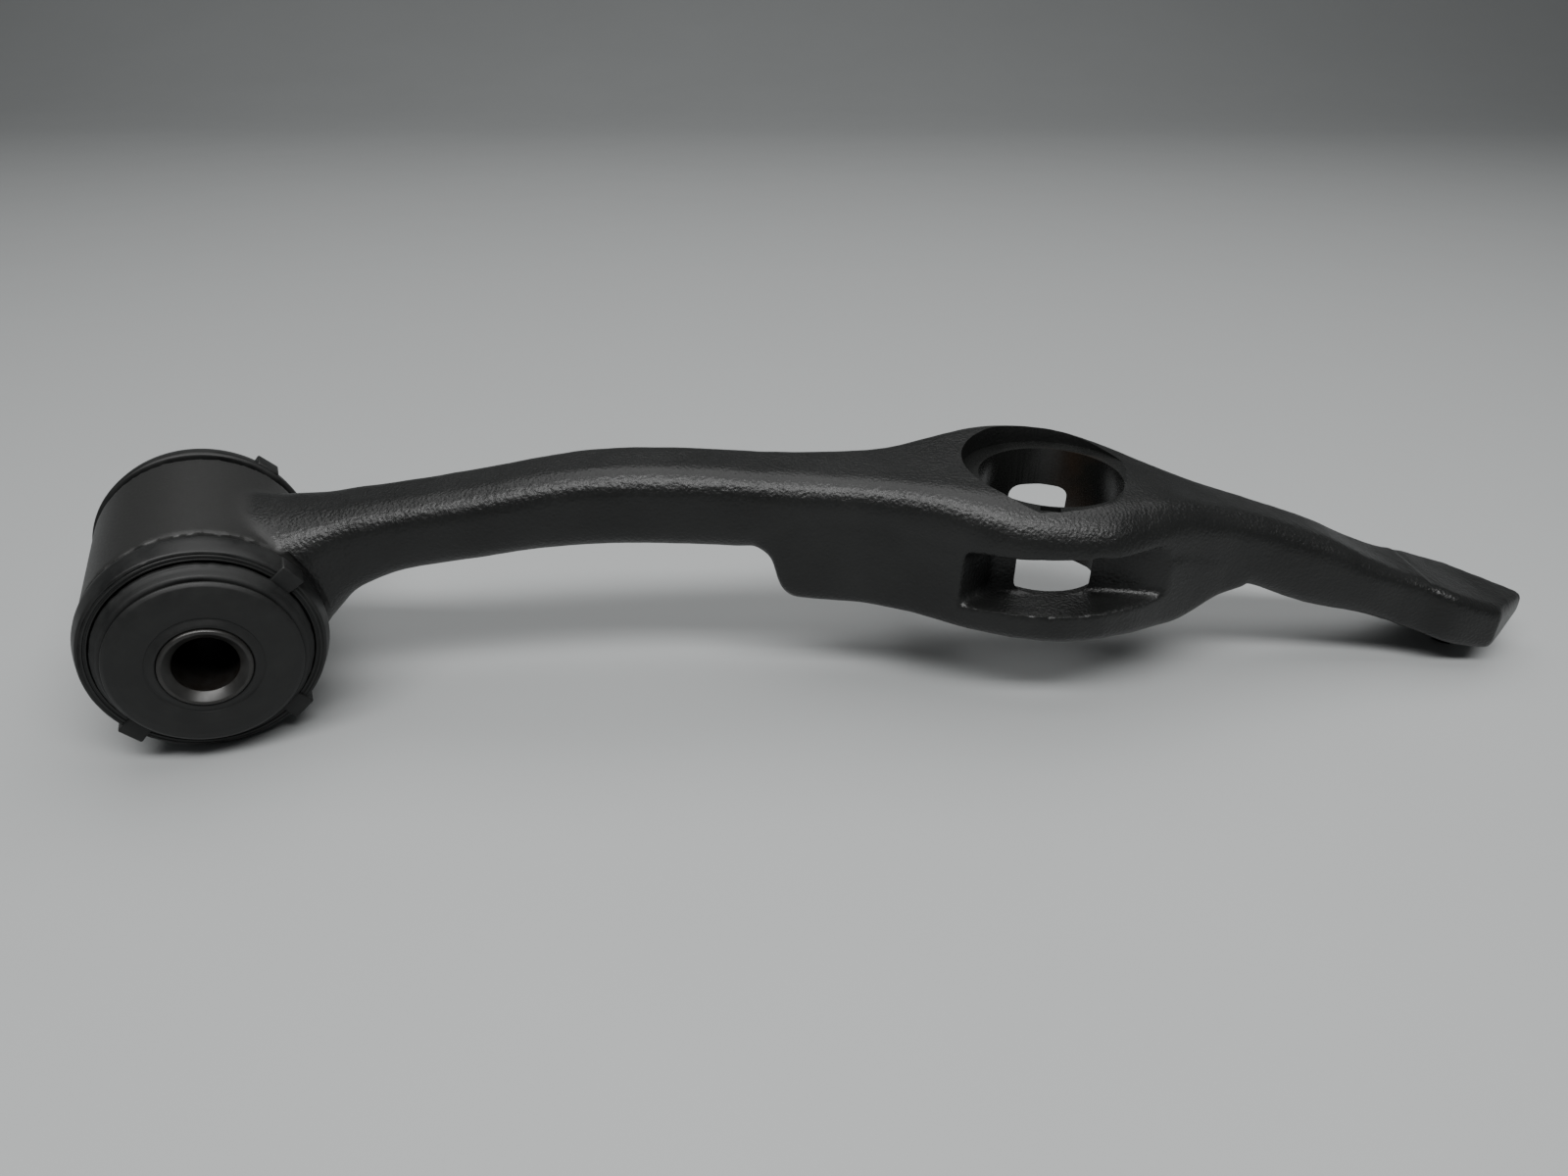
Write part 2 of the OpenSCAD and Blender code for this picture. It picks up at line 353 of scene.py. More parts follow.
@dataclass(frozen=True)
class PlatedSheet:
    """Dull plated sheet steel of the hidden shells."""

    base: tuple = (0.10, 0.105, 0.11)

    def material(self) -> bpy.types.Material:
        """Builds the plating."""
        p = Painter("plated_sheet")
        cloud = p.grain(220.0, 4.0)
        fine = p.grain(2400.0, 2.0)
        colour = p.blend(p.ramp(cloud, 0.3, 0.7), self.base, (0.05, 0.052, 0.054))
        rough = p.ramp(cloud, 0.3, 0.7, 0.35, 0.5)
        relief = p.bump(fine, 0.3, 0.00004)
        p.set(Metallic=0.9)
        return p.done(colour, rough, relief)


@dataclass(frozen=True)
class FloorPaint:
    """Plain pale studio floor."""

    pale: tuple = (0.37, 0.38, 0.38)

    def material(self) -> bpy.types.Material:
        """Builds the floor's finish."""
        p = Painter("studio_floor")
        cloud = p.grain(6.0, 3.0)
        colour = p.blend(p.ramp(cloud, 0.3, 0.7), self.pale, tuple(c * 0.96 for c in self.pale))
        rough = p.ramp(cloud, 0.3, 0.7, 0.5, 0.6)
        relief = p.bump(p.grain(700.0, 2.0), 0.05, 0.0001)
        return p.done(colour, rough, relief)


# ---------------------------------------------------------------- mesh helpers


def new_piece(name: str, points: list, faces: list) -> bpy.types.Object:
    """Makes a mesh object.

    Args:
        name: the piece's name.
        points: corners in metres.
        faces: lists of corner numbers.

    Returns:
        The object, linked to the scene.
    """
    mesh = bpy.data.meshes.new(name)
    mesh.from_pydata([tuple(p) for p in points], [], faces)
    mesh.validate()
    tidy = bmesh.new()
    tidy.from_mesh(mesh)
    bmesh.ops.recalc_face_normals(tidy, faces=tidy.faces)
    tidy.to_mesh(mesh)
    tidy.free()
    obj = bpy.data.objects.new(name, mesh)
    bpy.context.scene.collection.objects.link(obj)
    return obj


def apply_all(obj: bpy.types.Object) -> None:
    """Bakes an object's modifiers into its mesh."""
    deps = bpy.context.evaluated_depsgraph_get()
    deps.update()
    made = bpy.data.meshes.new_from_object(obj.evaluated_get(deps), depsgraph=deps)
    obj.modifiers.clear()
    old = obj.data
    obj.data = made
    bpy.data.meshes.remove(old)


def shade(obj: bpy.types.Object, angle: float = 32.0) -> None:
    """Shades smooth, with creases kept sharp above an angle in degrees."""
    obj.data.shade_smooth()
    obj.data.set_sharp_from_angle(angle=math.radians(angle))


def coords(mesh: bpy.types.Mesh) -> np.ndarray:
    """Returns a mesh's corners as rows of x, y, z."""
    flat = np.zeros(len(mesh.vertices) * 3)
    mesh.vertices.foreach_get("co", flat)
    return flat.reshape(-1, 3)


def carry(mesh: bpy.types.Mesh, name: str, values: np.ndarray, domain: str = "POINT") -> None:
    """Stores a mask on a mesh."""
    made = mesh.attributes.new(name, "FLOAT", domain)
    made.data.foreach_set("value", values.astype(np.float32))


def mark_edges(obj: bpy.types.Object, gain: float = 2.2) -> None:
    """Stores how far each corner stands out from its neighbours, as the mask edge."""
    mesh = obj.data
    co = coords(mesh)
    normals = np.zeros(len(co) * 3)
    mesh.vertices.foreach_get("normal", normals)
    normals = normals.reshape(-1, 3)
    ends = np.zeros(len(mesh.edges) * 2, dtype=np.int64)
    mesh.edges.foreach_get("vertices", ends)
    ends = ends.reshape(-1, 2)
    way = co[ends[:, 1]] - co[ends[:, 0]]
    way /= np.maximum(np.linalg.norm(way, axis=1), 1e-9)[:, None]
    total = np.zeros(len(co))
    count = np.zeros(len(co))
    for side, sign in ((0, -1.0), (1, 1.0)):
        at = ends[:, side]
        np.add.at(total, at, sign * np.einsum("ij,ij->i", normals[at], way))
        np.add.at(count, at, 1.0)
    carry(mesh, "edge", np.clip(gain * total / np.maximum(count, 1.0), 0.0, 1.0))


def revolve(name: str, axis: BushAxis, end: BushEnd, profile: list, steps: int = 192,
            wobble: "callable | None" = None) -> bpy.types.Object:
    """Turns a closed outline about the bush axis.

    Args:
        name: the piece's name.
        axis: the bush axis.
        end: the end it faces.
        profile: corners as radius and reach, in millimetres, reach growing outwards.
        steps: number of steps round.
        wobble: an optional change to radius and reach by corner number and angle.

    Returns:
        The turned piece.
    """
    points, faces = [], []
    n = len(profile)
    for k in range(steps):
        angle = 2 * math.pi * k / steps
        for i, (radius, reach) in enumerate(profile):
            if wobble is not None:
                more = wobble(i, angle)
                radius, reach = radius + more[0], reach + more[1]
            points.append(axis.place(radius, angle, end.value * reach))
    for k in range(steps):
        a, b = k * n, ((k + 1) % steps) * n
        faces += [[a + i, b + i, b + (i + 1) % n, a + (i + 1) % n] for i in range(n)]
    return new_piece(name, points, faces)


def rounded(profile: list, radius: float, steps: int = 4) -> list:
    """Rounds every corner of a closed outline.

    Args:
        profile: corners as radius and reach.
        radius: the rounding, held to 40% of the shorter side.
        steps: points on each round.

    Returns:
        The outline with more corners.
    """
    made = []
    n = len(profile)
    for i in range(n):
        before, here, after = (Vector(profile[j % n]) for j in (i - 1, i, i + 1))
        a, b = before - here, after - here
        cut = min(radius, 0.4 * a.length, 0.4 * b.length)
        start, stop = here + a.normalized() * cut, here + b.normalized() * cut
        for s in range(steps + 1):
            t = s / steps
            p = start.lerp(here, t).lerp(here.lerp(stop, t), t)
            made.append((p.x, p.y))
    return made


def cylinder_cutter(name: str, base: Vector, way: Vector, radius: float, length: float,
                    steps: int = 160) -> bpy.types.Object:
    """Makes a cutting tool: a closed round bar.

    Args:
        name: its name.
        base: centre of its start, in metres.
        way: its direction.
        radius: in millimetres.
        length: in millimetres.
        steps: number of sides.

    Returns:
        The tool's object.
    """
    side = way.orthogonal().normalized()
    other = way.cross(side).normalized()
    points, faces = [], []
    for reach in (0.0, length):
        for k in range(steps):
            a = 2 * math.pi * k / steps
            points.append(base + way * reach * MM + (side * math.cos(a) + other * math.sin(a)) * radius * MM)
    faces += [[k, (k + 1) % steps, steps + (k + 1) % steps, steps + k] for k in range(steps)]
    faces += [list(range(steps))[::-1], [steps + k for k in range(steps)]]
    return new_piece(name, points, faces)


def cut(obj: bpy.types.Object, tools: list, kind: str = "DIFFERENCE") -> None:
    """Cuts tools from an object, or joins them to it, and removes them."""
    for tool in tools:
        step = obj.modifiers.new(tool.name, "BOOLEAN")
        step.operation = kind
        step.object = tool
        step.solver = "MANIFOLD"
    apply_all(obj)
    for tool in tools:
        bpy.data.objects.remove(tool)


# ---------------------------------------------------------------- the forging


@dataclass
class Forging:
    """The forged arm: eye, beam, boss with two lands, keel and pointed tongue. Sizes in millimetres."""

    axis: BushAxis
    eye_r: float = 30.4
    eye_len: float = 53.0
    eye_bore_r: float = 26.0
    bore_x: float = 247.0
    bore_r: float = 21.0
    spot_r: float = 26.5
    spot_z: float = 30.6
    lower_hole_r: float = 18.0
    recess_floor: float = 2.4
    recess_top: float = 18.6
    recess_y: float = 16.5
    tongue_half_w: float = 17.0
    nose_x: float = 390.0
    tip_x: float = 407.5
    voxel: float = 1.0
    beam: list = field(default_factory=lambda: [
        [12, 26.8, -20, 22, 17], [21, 26.6, -16, 20.6, 16], [30, 26.8, -12, 19.2, 14],
        [38, 27.4, -5, 16.6, 11.5], [46, 28.6, 3, 14.2, 9], [60, 30.4, 8.8, 13, 7.5],
        [80, 33.5, 11.8, 13, 7.5],
        [98, 36.8, 14.4, 13, 7.5], [113, 38.9, 15.4, 13, 7.5], [128, 39.3, 15.4, 13, 7.5],
        [145, 38.6, 14.6, 13.2, 7.5], [160, 37.3, 14, 13.6, 7.5], [168, 36.8, 16.8, 14, 8],
        [176, 36.4, 20.4, 14.5, 8], [187, 35.9, 20.2, 15.8, 8], [200, 35.6, 18.4, 18.6, 8],
        [218, 35.8, 16, 26, 8], [232, 35.2, 14, 30.4, 8], [247, 34, 13, 31.2, 8], [260, 32.2, 12, 30, 8],
        [273, 30, 10, 24.5, 8], [287, 26.4, 5, 18.2, 8], [300, 22.7, -0.5, 14.4, 7.5],
        [312, 19, -3.9, 13, 7], [324, 15, -8.7, 12.6, 7], [336, 10.4, -12, 12.8, 6.5],
        [347, 5.2, -14, 13.2, 6], [358, 0.6, -17, 13.4, 5], [367, -2, -19.4, 13.8, 4]])
    tongue: list = field(default_factory=lambda: [
        [360, -1.6, -17.4, 3.5], [369, -3.4, -20.6, 3.5], [380, -7, -23.8, 3.5], [390, -10, -25.4, 3.5],
        [399, -11.8, -23.8, 3], [407.5, -13.6, -20.6, 1.8]])
    lower_width: list = field(default_factory=lambda: [
        [156, 12.8], [162, 13.3], [168, 13.6], [175, 13.8], [190, 14.9], [205, 19.2], [219, 26.2],
        [231, 31], [245, 33.6], [257, 32.3], [267, 29], [277, 23.5], [288, 18.3], [300, 14.4], [308, 13]])
    lower_edge: list = field(default_factory=lambda: [
        [156, 17], [161.5, 13.4], [164, 10.8], [165.4, 6.4], [166.8, 2], [169.4, -1.2], [173.5, -2.5],
        [186, -3.4], [200, -4.6], [215, -6.2], [232, -7.4], [247, -8], [262, -8.4], [272, -9.4],
        [281, -10.4], [287.5, -10], [293, -7.8], [298, -5.6], [304, -4], [308, -3.2]])
    lower_top: list = field(default_factory=lambda: [
        [156, 27], [168, 28], [190, 28], [205, 26], [218, 22], [228, 18.4], [262, 17.6], [285, 15], [308, 8]])

    def boss_share(self, x: float) -> float:
        """Says how far a section takes part in the boss, 1 at the bore and 0 away from it."""
        return 0.5 + 0.5 * math.cos(math.pi * min(1.0, abs(x - self.bore_x) / 50.0))

    def section(self, x: float, top: float, bottom: float, half: float, radius: float,
                share: float, steps: int = 10) -> list:
        """Makes one rounded cross section of the arm.

        Args:
            x: its place along the arm.
            top: its upper edge.
            bottom: its lower edge.
            half: half its width.
            radius: rounding of its corners.
            share: how far it leans and rolls over to the front.
            steps: points on each corner.

        Returns:
            Its points, in metres.
        """
        base = min(radius, half - 0.2, (top - bottom) / 2 - 0.2)
        points = []
        for corner in range(4):
            r = min(base + 6 * share, top - bottom - base - 0.2) if corner == 1 else base
            side = 1 if corner in (0, 3) else -1
            for i in range(steps):
                a = math.radians(90 * (corner + i / (steps - 1)))
                y = side * (half - r) + r * math.cos(a)
                z = (top - r if corner < 2 else bottom + r) + r * math.sin(a)
                lean = 0.1 * share * y * (z - bottom) / (top - bottom)
                points.append(Vector((x, y, z + lean)) * MM)
        return points

    @staticmethod
    def filled(rows: list, parts: int) -> list:
        """Sets extra rows smoothly between those of a table."""
        table = np.array(rows, float)
        made = []
        for i in range(len(table) - 1):
            a, b, c, d = table[max(i - 1, 0)], table[i], table[i + 1], table[min(i + 2, len(table) - 1)]
            for j in range(parts):
                t = j / parts
                made.append(0.5 * (2 * b + (c - a) * t + (2 * a - 5 * b + 4 * c - d) * t * t
                                   + (3 * b - a - 3 * c + d) * t ** 3))
        made.append(table[-1])
        return [list(map(float, row)) for row in made]

    @staticmethod
    def loft(name: str, sections: list) -> bpy.types.Object:
        """Makes a solid through a row of cross sections."""
        n, m = len(sections[0]), len(sections)
        faces = [list(range(n)), [(m - 1) * n + i for i in range(n)][::-1]]
        for k in range(m - 1):
            faces += [[k * n + i, k * n + (i + 1) % n, (k + 1) * n + (i + 1) % n, (k + 1) * n + i]
                      for i in range(n)]
        return new_piece(name, [p for s in sections for p in s], faces)

    def tongue_half(self, x: float) -> float:
        """Half width of the tongue, from the neck to the pointed nose."""
        if x < self.nose_x:
            t = min(1.0, max(0.0, (x - 364.0) / 12.0))
            return 13.6 + (self.tongue_half_w - 13.6) * (0.5 - 0.5 * math.cos(math.pi * t))
        return (self.tongue_half_w + (2.0 - self.tongue_half_w) * (x - self.nose_x)
                / (self.tip_x - self.nose_x))

    def bodies(self) -> list:
        """Makes the solids that the forging is the sum of."""
        ax = self.axis
        beam = self.loft("beam", [self.section(*r[:5], self.boss_share(r[0]))
                                  for r in self.filled(self.beam, 4)])
        tongue = self.loft("tongue", [self.section(r[0], r[1], r[2], self.tongue_half(r[0]), r[3], 0.0)
                                      for r in self.filled(self.tongue, 4)])
        width, top = np.array(self.lower_width, float), np.array(self.lower_top, float)
        lower = self.loft("lower", [
            self.section(x, float(np.interp(x, top[:, 0], top[:, 1])), z,
                         float(np.interp(x, width[:, 0], width[:, 1])), 4.5, 0.0)
            for x, z in self.filled(self.lower_edge, 3)])
        eye = cylinder_cutter("eye", ax.origin - ax.along * self.eye_len / 2 * MM, ax.along,
                              self.eye_r + 0.12, self.eye_len, 192)
        pad = cylinder_cutter("pad", Vector((0.387, 0.0, -0.031)), Vector((0, 0, 1)), 4.0, 10.0, 48)
        return [beam, tongue, lower, eye, pad]

    def recess(self, side: int) -> bpy.types.Object:
        """Makes the tool for the forged recess on one side; the front and back inner walls differ."""
        near = (0.0, -2.9) if side < 0 else (-5.9, -0.5)
        outline = [(-45, -24), (-32.5, -9.5), (-19, near[0]), (15, near[1]), (30, -6), (54, -13), (54, -24)]
        points = []
        for z in (self.recess_floor, self.recess_top):
            points += [Vector((self.bore_x + x, side * (self.recess_y - y), z)) * MM for x, y in outline]
        n = len(outline)
        faces = [[k, (k + 1) % n, n + (k + 1) % n, n + k] for k in range(n)]
        faces += [list(range(n))[::-1], [n + k for k in range(n)]]
        return new_piece(f"recess_{side}", points, faces)

    def build(self) -> bpy.types.Object:
        """Makes the forging: joined, rounded as forged, then machined.

        Returns:
            The finished piece.
        """
        parts = self.bodies()
        arm = parts[0]
        arm.name = "forged_arm"
        cut(arm, parts[1:], "UNION")
        cut(arm, [self.recess(-1), self.recess(1)])
        skin = arm.modifiers.new("skin", "REMESH")
        skin.mode = "VOXEL"
        skin.voxel_size = self.voxel * MM
        soften = arm.modifiers.new("soften", "SMOOTH")
        soften.factor = 0.5
        soften.iterations = 6
        apply_all(arm)
        self.blend_neck(arm)
        self.undulate(arm.data)
        self.machine(arm)
        return arm

    def blend_neck(self, arm: bpy.types.Object) -> None:
        """Rounds the corner between the eye's barrel and the beam into a wide forged fillet."""
        co = coords(arm.data)
        radii = self.axis.radii(co)
        reach = np.abs((co - np.array(self.axis.origin)) @ np.array(self.axis.along)) / MM
        weight = np.clip((co[:, 0] / MM - 10.0) / 8.0, 0.0, 1.0) * np.clip((52.0 - radii) / 14.0, 0.0, 1.0)
        weight *= np.clip((24.5 - reach) / 5.0, 0.0, 1.0) * (radii > 28.0)
        group = arm.vertex_groups.new(name="neck")
        for step in range(1, 11):
            chosen = np.nonzero(np.round(weight * 10) == step)[0]
            group.add(chosen.tolist(), step / 10, "REPLACE")
        fillet = arm.modifiers.new("fillet", "SMOOTH")
        fillet.vertex_group = "neck"
        fillet.factor = 0.9
        fillet.iterations = 46
        apply_all(arm)
        arm.vertex_groups.clear()
        co = coords(arm.data)
        line = np.array(self.axis.along)
        rel = co - np.array(self.axis.origin)
        out = rel - np.outer(rel @ line, line)
        radii = np.linalg.norm(out, axis=1) / MM
        sunk = (radii > 27.5) & (radii < self.eye_r) & (np.abs(rel @ line) < 0.0255)
        co[sunk] += out[sunk] * ((self.eye_r / radii[sunk]) - 1.0)[:, None]
        arm.data.vertices.foreach_set("co", co.ravel())
        arm.data.update()

    def undulate(self, mesh: bpy.types.Mesh) -> None:
        """Gives the skin the slight waves of a forging, away from the eye's barrel."""
        co = coords(mesh)
        out = np.zeros(len(co) * 3)
        mesh.vertices.foreach_get("normal", out)
        away = np.clip((self.axis.radii(co) - self.eye_r - 1.5) / 6.0, 0.0, 1.0)
        wave = np.array([noise.noise(Vector(p) * 95.0) * 0.14
                         + noise.noise(Vector(p) * 260.0) * 0.05 for p in co])
        co += out.reshape(-1, 3) * ((wave - 0.12) * away * MM)[:, None]
        mesh.vertices.foreach_set("co", co.ravel())
        mesh.update()

    def machine(self, arm: bpy.types.Object) -> None:
        """Cuts the eye's bore and end faces, the stem bore, the spot face, the holes and the rim pocket."""
        ax, up = self.axis, Vector((0, 0, 1))
        centre = Vector((self.bore_x, 0, 0)) * MM
        pocket_turn, facing_r, under_r, under_drop = -106, 32.2, 26.5, 0.063
        notch = self.box_tool("notch", centre, math.radians(pocket_turn),
                              (21.5, 24.3), (-2.8, 2.8), (29.0, 60.0))
        cut(arm, [cylinder_cutter("eye_bore", ax.origin - ax.along * 0.05, ax.along, self.eye_bore_r, 100.0)])
        for sign in (1, -1):
            face = ax.origin + ax.along * sign * (self.eye_len / 2 - 0.02) * MM
            cut(arm, [cylinder_cutter("facing", face, ax.along * sign, facing_r, 30.0)])
        cut(arm, [cylinder_cutter("lower_hole", centre - up * 0.05, up, self.lower_hole_r, 100.0)])
        cut(arm, [cylinder_cutter("stem_bore", centre + up * 0.002, up, self.bore_r, 60.0)])
        cut(arm, [cylinder_cutter("under", centre - up * under_drop, up, under_r, 60.0)])
        cut(arm, [cylinder_cutter("spot", centre + up * self.spot_z * MM, up, self.spot_r, 30.0)])
        cut(arm, [notch])

    @staticmethod
    def box_tool(name: str, centre: Vector, turn: float, along: tuple, across: tuple,
                 high: tuple) -> bpy.types.Object:
        """Makes a square cutting tool, turned about Z at a centre; its spans are in millimetres."""
        spin = Matrix.Rotation(turn, 3, "Z")
        points = [centre + spin @ (Vector((x, y, z)) * MM) for z in high for y in across for x in along]
        faces = [[0, 1, 3, 2], [4, 6, 7, 5], [0, 4, 5, 1], [2, 3, 7, 6], [0, 2, 6, 4], [1, 5, 7, 3]]
        return new_piece(name, points, faces)

    def dress(self, arm: bpy.types.Object, paint: bpy.types.Material) -> None:
        """Stores the masks that the paint reads, paints the arm and puts it on its body."""
        mesh = arm.data
        mark_edges(arm)
        co = coords(mesh) / MM
        radii = self.axis.radii(coords(mesh))
        barrel = np.clip((self.eye_r + 2.0 - radii) / 1.4, 0.0, 1.0)
        carry(mesh, "barrel", barrel)
        centres = np.zeros(len(mesh.polygons) * 3)
        mesh.polygons.foreach_get("center", centres)
        centres = centres.reshape(-1, 3) / MM
        normals = np.zeros(len(mesh.polygons) * 3)
        mesh.polygons.foreach_get("normal", normals)
        normals = normals.reshape(-1, 3)
        from_bore = np.hypot(centres[:, 0] - self.bore_x, centres[:, 1])
        level = (np.abs(centres[:, 2] - self.spot_z) < 0.1) & (from_bore < self.spot_r)
        spot = level & (normals[:, 2] > 0.95)
        wall = (from_bore < self.bore_r + 0.15) & (np.abs(normals[:, 2]) < 0.2)
        carry(mesh, "machined", (spot | wall).astype(float), "FACE")
        stain = np.exp(-((co[:, 0] - self.bore_x - 13) ** 2 + (co[:, 1] - 14) ** 2) / 40.0)
        stain *= (np.hypot(co[:, 0] - self.bore_x, co[:, 1]) < self.bore_r + 0.3)
        carry(mesh, "stain", stain)
        mesh.materials.clear()
        mesh.materials.append(paint)
        shade(arm, 38.0)
        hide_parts("arm_forging")
        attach(arm, "arm")


# ---------------------------------------------------------------- the bush


@dataclass
class LugRing:
    """The moulded ring at one end of the bush, with three lugs. Sizes in millimetres."""

    axis: BushAxis
    end: BushEnd
    seat: float = 28.9
    front: float = 36.4
    root_r: float = 31.0
    nose_r: float = 29.9
    lug_w: float = 7.0
    lug_top: float = 31.45
    lug_reach: float = 6.0
    angles: tuple = (36.0, 222.0, 310.0)

    def outline(self) -> list:
        """Makes the ring's cross section, with the fine steps of its front face."""
        f, n = self.front, self.nose_r
        return [
            (24.02, self.seat + 0.05), (29.9, self.seat + 0.05), (30.5, self.seat + 0.15),
            (30.92, self.seat + 0.6), (self.root_r - 0.02, self.seat + 1.1),
            (self.root_r - 0.03, self.seat + 2.0),
            (30.72, self.seat + 3.4), (30.35, self.seat + 5.0), (n + 0.05, f - 0.75), (n - 0.12, f - 0.3),
            (n - 0.45, f - 0.03), (n - 0.8, f - 0.02), (n - 0.95, f - 0.22), (n - 1.2, f - 0.24),
            (n - 1.35, f - 0.05), (n - 1.75, f - 0.04), (n - 1.9, f - 0.3), (n - 2.3, f - 0.34),
            (n - 2.45, f - 0.12), (n - 2.75, f - 0.16), (n - 2.85, f - 0.45), (26.95, f - 0.6),
            (26.6, f - 1.2),
            (24.02, f - 2.1),
        ]

    def build(self) -> bpy.types.Object:
        """Makes the ring with its lugs."""
        label = self.end.name.lower()

        def wobble(corner: int, angle: float) -> tuple:
            """Waves the moulded edges a little."""
            if corner in (9, 10, 11):
                here = Vector((math.cos(angle), math.sin(angle), corner * 0.02)) * 3.0
                return (0.10 * noise.noise(here * 2.1), -0.05 - 0.06 * abs(noise.noise(here * 3.7)))
            return (0.0, 0.0)

        ring = revolve(f"{label}_ring", self.axis, self.end, self.outline(), 240, wobble)
        lugs = [self.lug(i, math.radians(a)) for i, a in enumerate(self.angles)]
        cut(ring, lugs, "UNION")
        return ring

    def lug(self, index: int, angle: float) -> bpy.types.Object:
        """Makes one lug, a block with softened edges."""
        reach = (self.seat + 1.4, self.seat + 1.4 + 6.65)
        points = []
        inner = self.lug_top - self.lug_reach
        for w in reach:
            for r, half in ((inner, self.lug_w / 2 - 0.4), (self.lug_top, self.lug_w / 2)):
                for side in (-1, 1):
                    base = self.axis.place(r, angle, self.end.value * w)
                    way = self.axis.up * math.cos(angle) - self.axis.across * math.sin(angle)
                    points.append(base + way * side * half * MM)
        faces = [[0, 1, 3, 2], [4, 6, 7, 5], [0, 4, 5, 1], [2, 3, 7, 6], [0, 2, 6, 4], [1, 5, 7, 3]]
        block = new_piece(f"lug_{self.end.name}_{index}", points, faces)
        soft = block.modifiers.new("soft", "BEVEL")
        soft.width = 0.55 * MM
        soft.segments = 3
        apply_all(block)
        return block

    def dress(self, ring: bpy.types.Object, rubber: bpy.types.Material) -> None:
        """Finishes the ring and puts it on the arm."""
        mark_edges(ring)
        ring.data.materials.clear()
        ring.data.materials.append(rubber)
        shade(ring, 40.0)
        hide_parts(f"{self.end.name.lower()}_lug_ring")
        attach(ring, "arm")


@dataclass
class BushRubber:
    """One half of the rubber, with the moulded lip that shows between ring and disc. Sizes in millimetres."""

    axis: BushAxis
    end: BushEnd
    outer: float = 24.0
    lip: float = 26.7
    tip: float = 40.7
    inner: float = 11.46

    def build(self) -> bpy.types.Object:
        """Makes the rubber half, its lip slightly wavy."""
        t = self.tip
        outline = rounded([
            (self.inner, 0.5), (self.outer, 0.5), (self.outer, t - 6.2), (self.lip - 0.1, t - 4.6),
            (self.lip - 0.05, t - 3.4), (self.lip - 0.6, t - 2.8), (self.lip - 1.2, t - 2.0), (24.9, t - 0.5),
            (24.2, t - 0.05), (15.4, t - 0.05), (self.inner, t - 3.0)], 0.35, 3)
        waving = {i for i, (r, w) in enumerate(outline) if r > self.outer + 1.2 and w < t - 2.9}

        def wobble(corner: int, angle: float) -> tuple:
            """Waves the lip's edge."""
            if corner in waving:
                here = Vector((math.cos(angle), math.sin(angle), 0.3)) * 2.2
                return (-0.28 * abs(noise.noise(here * 3.1)), 0.16 * noise.noise(here * 2.3))
            return (0.0, 0.0)

        return revolve(f"{self.end.name.lower()}_rubber_half", self.axis, self.end, outline, 240, wobble)

    def dress(self, half: bpy.types.Object, rubber: bpy.types.Material) -> None:
        """Finishes the rubber and puts it on the arm."""
        mark_edges(half)
        half.data.materials.append(rubber)
        shade(half, 45.0)
        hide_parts(f"{self.end.name.lower()}_rubber")
        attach(half, "arm")


@dataclass
class EndDisc:
    """The disc on one end of the sleeve. Sizes in millimetres."""

    axis: BushAxis
    end: BushEnd
    rim: float = 24.0
    back: float = 41.1
    front: float = 43.7
    sleeve_r: float = 11.4

    def build(self) -> bpy.types.Object:
        """Makes the disc, with a rounded rim and a low collar round the sleeve."""
        f = self.front
        outline = rounded([
            (self.sleeve_r + 0.02, self.back), (self.rim - 1.6, self.back),
            (self.rim - 0.05, self.back + 0.6),
            (self.rim - 0.1, self.back + 1.2), (self.rim - 1.0, f - 0.75), (self.rim - 2.8, f - 0.32),
            (self.rim - 4.8, f - 0.12), (18.2, f - 0.02), (14.4, f - 0.02), (14.0, f - 0.28),
            (13.6, f - 0.1), (12.4, f + 0.5), (11.9, f + 0.6), (self.sleeve_r + 0.02, f + 0.3)], 0.25, 3)
        return revolve(f"{self.end.name.lower()}_disc", self.axis, self.end, outline, 240)

    def dress(self, disc: bpy.types.Object, coating: bpy.types.Material) -> None:
        """Finishes the disc and puts it on the sleeve's body."""
        mark_edges(disc)
        disc.data.materials.append(coating)
        shade(disc, 45.0)
        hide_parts(f"{self.end.name.lower()}_end_disc")
        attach(disc, "bush_inner")


@dataclass
class InnerSleeve:
    """The steel sleeve that the bolt goes through. Sizes in millimetres."""

    axis: BushAxis
    half_len: float = 45.0
    outer: float = 11.4
    bore: float = 8.1
    chamfer: float = 2.2

    def build(self) -> bpy.types.Object:
        """Makes the sleeve with broken edges."""
        h, c = self.half_len - 0.01, self.chamfer
        outline = rounded([
            (self.bore, -h + c), (self.bore + c, -h), (self.outer - 0.45, -h),
            (self.outer - 0.01, -h + 0.45), (self.outer - 0.01, h - 0.45),
            (self.outer - 0.45, h), (self.bore + c, h), (self.bore, h - c)], 0.18, 3)
        return revolve("bolt_sleeve", self.axis, BushEnd.FRONT, outline, 192)

    def dress(self, sleeve: bpy.types.Object, steel: bpy.types.Material) -> None:
        """Stores the masks for the chamfers and the inside, and finishes the sleeve."""
        mesh = sleeve.data
        co = coords(mesh)
        radii = self.axis.radii(co)
        reach = np.abs((co - np.array(self.axis.origin)) @ np.array(self.axis.along)) / MM
        slope = ((radii > self.bore + 0.15) & (radii < self.bore + self.chamfer - 0.1)
                 & (reach > self.half_len - 2.3))
        carry(mesh, "chamfer", slope.astype(float))
        carry(mesh, "inside", (radii < self.bore + 0.1).astype(float))
        mark_edges(sleeve)
        mesh.materials.append(steel)
        shade(sleeve, 30.0)
        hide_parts("inner_sleeve")
        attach(sleeve, "bush_inner")


